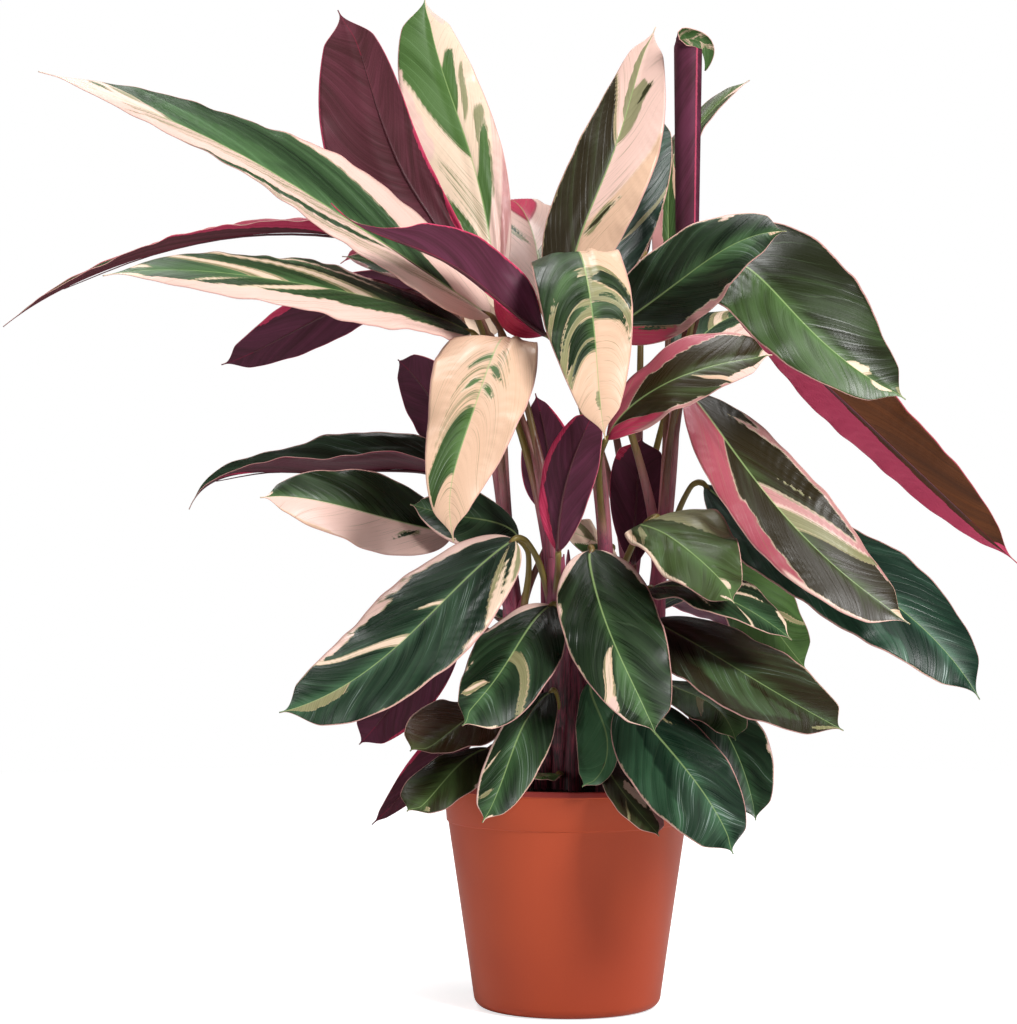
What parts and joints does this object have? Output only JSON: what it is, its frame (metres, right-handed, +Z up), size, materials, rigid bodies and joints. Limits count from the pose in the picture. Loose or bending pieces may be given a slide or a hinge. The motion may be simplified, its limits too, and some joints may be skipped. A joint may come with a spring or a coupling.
{
  "type": "potted stromanthe",
  "caption": "Tricolour stromanthe house plant: long variegated, purple-backed leaves on sheathed stems, growing in a round terracotta-coloured plastic nursery pot.",
  "frame": {"origin": "centre of the pot's foot, in the plane that it stands on", "axes": "+Z up; -Y is the side that the picture shows, and +X is to the right there"},
  "size_m": [0.8311, 0.4647, 0.8141],
  "materials": {
    "terracotta_plastic": "satin moulded plastic, terracotta colour",
    "potting_mix": "dark crumbly peat and bark",
    "stem": "smooth fleshy sheaths, purple-pink at the foot and olive green above",
    "leaf": "waxy upper side in dark green, cream and pink; satin maroon underside"
  },
  "bodies": {
    "root": {"back_leaf_1": "leaf", "back_leaf_2": "leaf", "back_leaf_3": "leaf", "back_leaf_4": "leaf", "left_leaf_1": "leaf", "left_leaf_2": "leaf", "left_leaf_3": "leaf", "left_leaf_4": "leaf", "left_leaf_5": "leaf", "lower_leaf_1": "leaf", "lower_leaf_10": "leaf", "lower_leaf_11": "leaf", "lower_leaf_12": "leaf", "lower_leaf_13": "leaf", "lower_leaf_14": "leaf", "lower_leaf_15": "leaf", "lower_leaf_2": "leaf", "lower_leaf_3": "leaf", "lower_leaf_4": "leaf", "lower_leaf_5": "leaf", "lower_leaf_6": "leaf", "lower_leaf_7": "leaf", "lower_leaf_8": "leaf", "lower_leaf_9": "leaf", "middle_leaf_1": "leaf", "middle_leaf_10": "leaf", "middle_leaf_11": "leaf", "middle_leaf_12": "leaf", "middle_leaf_13": "leaf", "middle_leaf_14": "leaf", "middle_leaf_15": "leaf", "middle_leaf_2": "leaf", "middle_leaf_3": "leaf", "middle_leaf_4": "leaf", "middle_leaf_5": "leaf", "middle_leaf_6": "leaf", "middle_leaf_7": "leaf", "middle_leaf_8": "leaf", "middle_leaf_9": "leaf", "pot": "terracotta_plastic", "soil": "potting_mix", "stem_back_left": "stem", "stem_back_right": "stem", "stem_centre": "stem", "stem_front_left": "stem", "stem_front_low": "stem", "stem_right": "stem", "upper_leaf_1": "leaf", "upper_leaf_10": "leaf", "upper_leaf_11": "leaf", "upper_leaf_12": "leaf", "upper_leaf_13": "leaf", "upper_leaf_2": "leaf", "upper_leaf_3": "leaf", "upper_leaf_4": "leaf", "upper_leaf_5": "leaf", "upper_leaf_6": "leaf", "upper_leaf_7": "leaf", "upper_leaf_8": "leaf", "upper_leaf_9": "leaf"}
  },
  "joints": []
}
